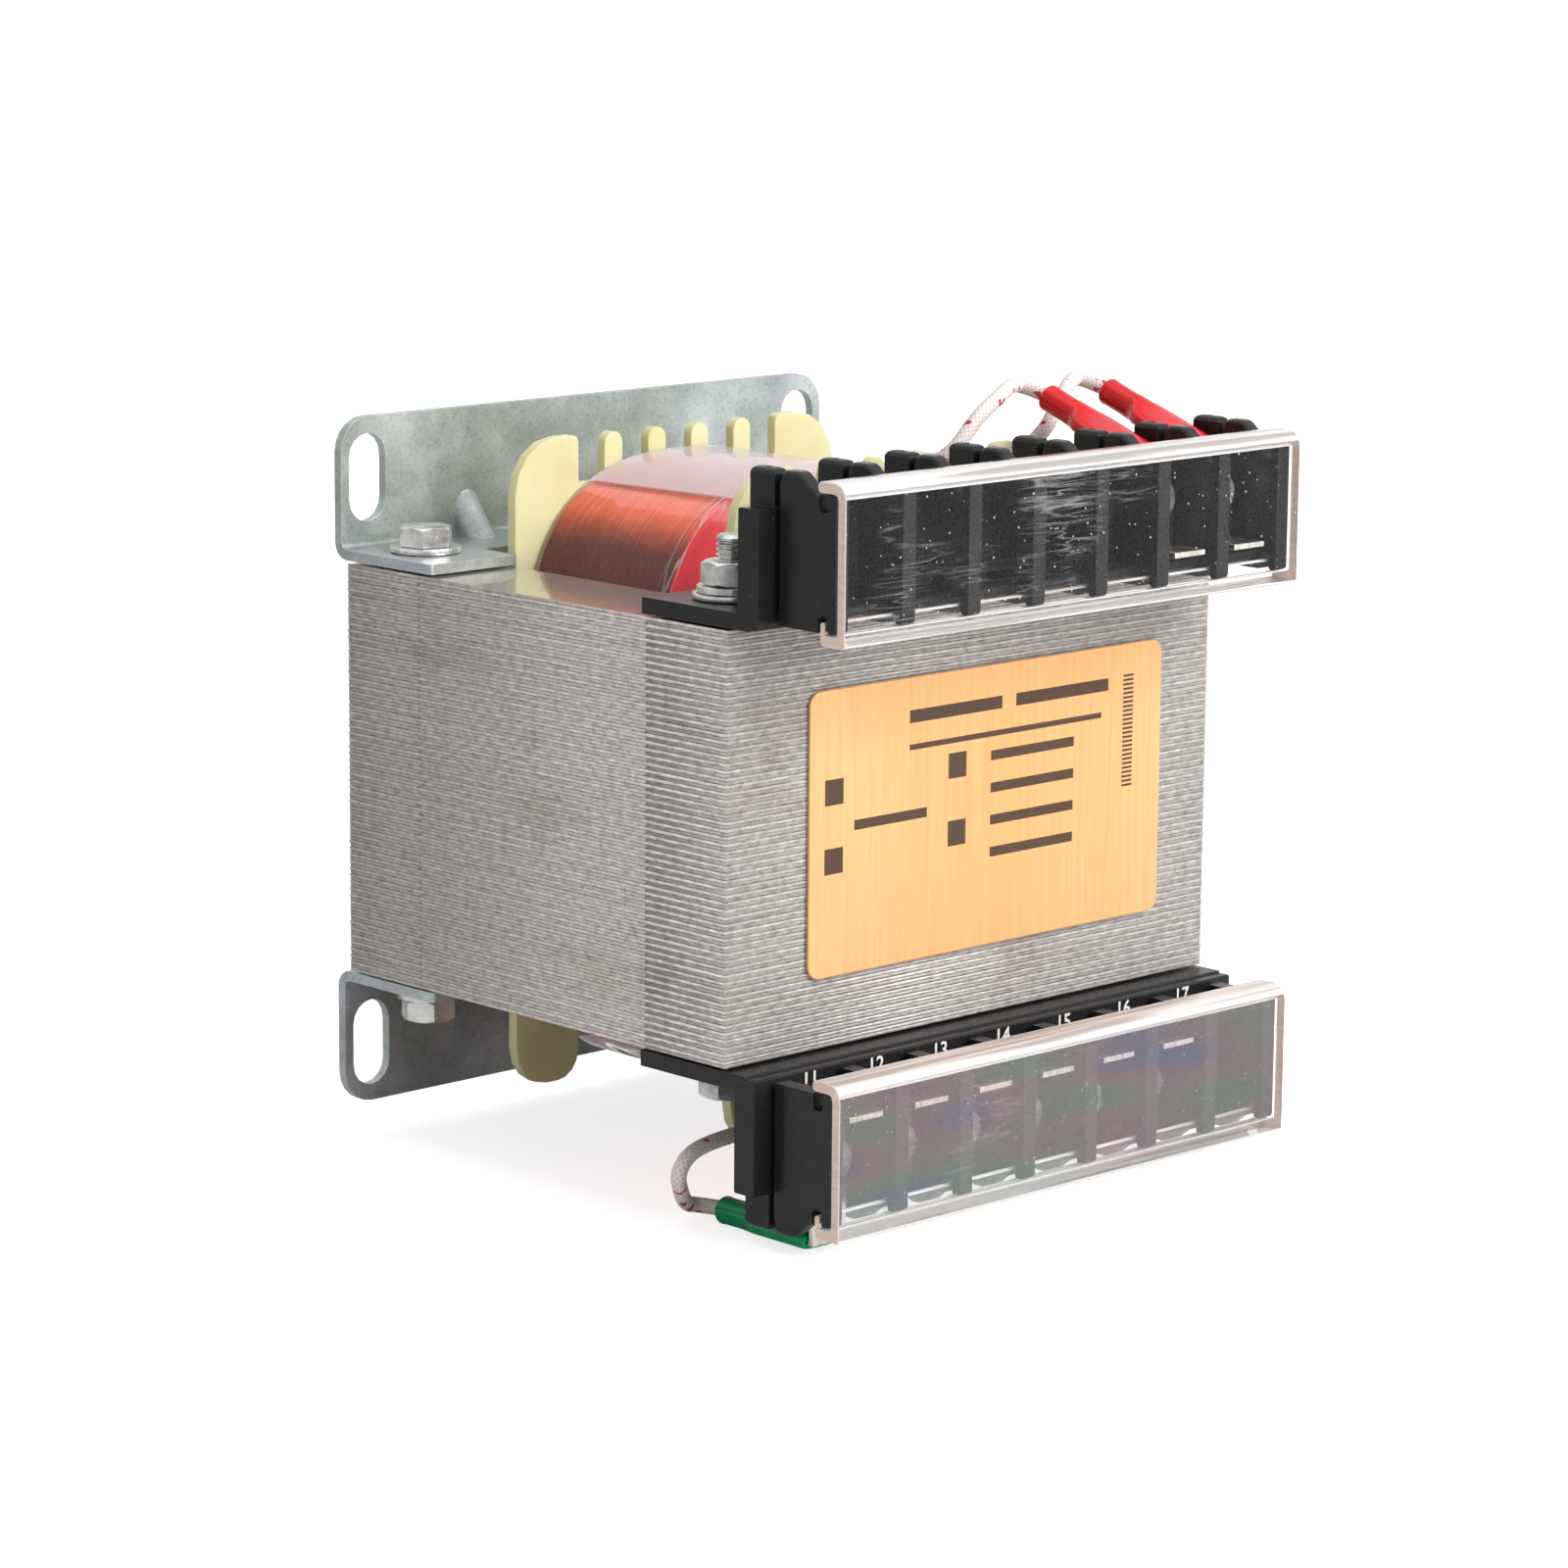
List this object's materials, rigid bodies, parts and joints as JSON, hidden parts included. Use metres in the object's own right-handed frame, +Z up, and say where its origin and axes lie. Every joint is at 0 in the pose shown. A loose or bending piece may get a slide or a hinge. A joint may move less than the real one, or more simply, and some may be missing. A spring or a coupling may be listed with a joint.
{
  "type": "control transformer",
  "caption": "Panel-mounted control transformer with a laminated core, a wrapped coil, two angle brackets and covered barrier terminal blocks at its top and bottom.",
  "frame": {"origin": "on the panel plane, which is the rear face of the top bracket, midway between its two slots", "axes": "+X along the terminal blocks, +Y into the panel, +Z up"},
  "size_m": [0.096, 0.1023, 0.1131],
  "materials": {
    "silicon_steel": "bare cut edges of the sheets, satin",
    "nylon_cream": "moulded nylon, slightly translucent",
    "copper_wire": "enamelled copper wire, glossy",
    "red_tape": "polyester tape",
    "insulation_paper": "insulating paper",
    "clear_film": "clear polyester film, wrinkled",
    "zinc_plate": "bright passivated zinc plating, cloudy",
    "steel_fastener": "zinc plated",
    "black_plastic": "moulded, fine grain",
    "clear_plastic": "clear polycarbonate, lightly scratched",
    "nickel_brass": "tinned brass",
    "red_sleeve": "soft vinyl",
    "green_sleeve": "soft vinyl",
    "glass_braid": "woven glass sleeving with red flecks",
    "gold_foil": "brushed gold foil label"
  },
  "bodies": {
    "root": {"bobbin": "nylon_cream", "core_bolt_front_left": "steel_fastener", "core_bolt_front_right": "steel_fastener", "core_bolt_rear_left": "steel_fastener", "core_bolt_rear_right": "steel_fastener", "core_laminations": "silicon_steel", "core_nut_front_left": "steel_fastener", "core_nut_front_right": "steel_fastener", "core_nut_rear_left": "steel_fastener", "core_nut_rear_right": "steel_fastener", "film_wrap": "clear_film", "flat_washer_front_left_bottom": "steel_fastener", "flat_washer_front_left_top": "steel_fastener", "flat_washer_front_right_bottom": "steel_fastener", "flat_washer_front_right_top": "steel_fastener", "flat_washer_rear_left_bottom": "steel_fastener", "flat_washer_rear_left_top": "steel_fastener", "flat_washer_rear_right_bottom": "steel_fastener", "flat_washer_rear_right_top": "steel_fastener", "interlayer_insulation": "insulation_paper", "lead_bottom_1": "glass_braid", "lead_top_6": "glass_braid", "lead_top_7": "glass_braid", "mounting_bracket_bottom": "zinc_plate", "mounting_bracket_top": "zinc_plate", "nameplate": "gold_foil", "primary_winding": "copper_wire", "red_tape_band": "red_tape", "secondary_winding": "copper_wire", "sleeve_green": "green_sleeve", "sleeve_red_6": "red_sleeve", "sleeve_red_7": "red_sleeve", "spring_washer_front_left": "steel_fastener", "spring_washer_front_right": "steel_fastener", "spring_washer_rear_left": "steel_fastener", "spring_washer_rear_right": "steel_fastener", "terminal_block_bottom": "black_plastic", "terminal_block_top": "black_plastic", "terminal_bottom_1": "nickel_brass", "terminal_bottom_2": "nickel_brass", "terminal_bottom_3": "nickel_brass", "terminal_bottom_4": "nickel_brass", "terminal_bottom_5": "nickel_brass", "terminal_bottom_6": "nickel_brass", "terminal_cover_bottom": "clear_plastic", "terminal_cover_top": "clear_plastic", "terminal_rail_bottom": "black_plastic", "terminal_rail_top": "black_plastic", "terminal_screw_bottom_1": "steel_fastener", "terminal_screw_bottom_2": "steel_fastener", "terminal_screw_bottom_3": "steel_fastener", "terminal_screw_bottom_4": "steel_fastener", "terminal_screw_bottom_5": "steel_fastener", "terminal_screw_bottom_6": "steel_fastener", "terminal_screw_top_6": "steel_fastener", "terminal_screw_top_7": "steel_fastener", "terminal_top_6": "nickel_brass", "terminal_top_7": "nickel_brass"}
  },
  "joints": []
}
